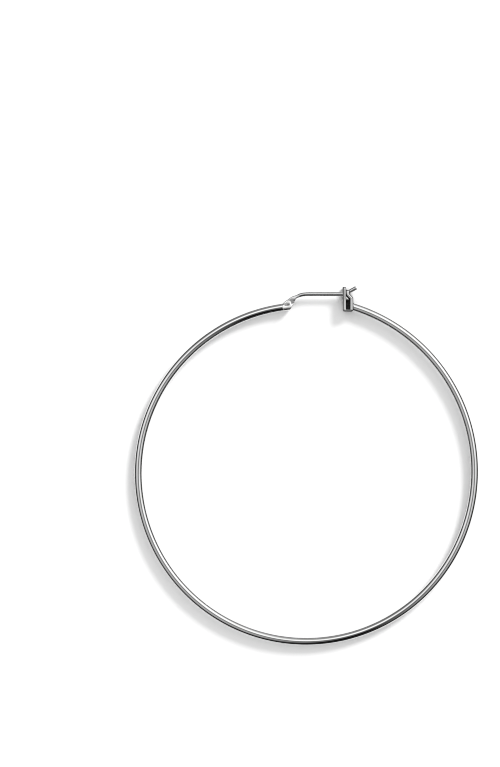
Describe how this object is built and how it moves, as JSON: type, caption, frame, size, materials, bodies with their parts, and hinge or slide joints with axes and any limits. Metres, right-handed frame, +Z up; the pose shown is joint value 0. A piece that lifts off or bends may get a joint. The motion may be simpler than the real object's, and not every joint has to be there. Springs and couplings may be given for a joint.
{
  "type": "hoop earring",
  "caption": "Large thin round-tube hoop earring in polished silver metal, with a hinged ear wire that swings up out of a folded snap catch, lying flat on its side.",
  "frame": {"origin": "under the middle of the lying hoop's footprint, on the surface that it lies on", "axes": "+Z up, square to the hoop's plane; +Y towards the clasp; +X from the hinge towards the catch"},
  "size_m": [0.0642, 0.067, 0.0025],
  "materials": {
    "hoop_metal": "mirror-polished silver",
    "pin_metal": "peened and polished silver",
    "wire_metal": "polished drawn silver wire"
  },
  "bodies": {
    "hoop": {"hoop": "hoop_metal", "hinge_pin": "pin_metal"},
    "post": {"ear_wire": "wire_metal"}
  },
  "joints": [
    {"name": "ear_wire_hinge", "type": "hinge", "parent": "hoop", "child": "post", "pos_m": [-0.00342, 0.03019, 0.00125], "axis": [0, 0, 1], "range_deg": [0, 70]}
  ]
}
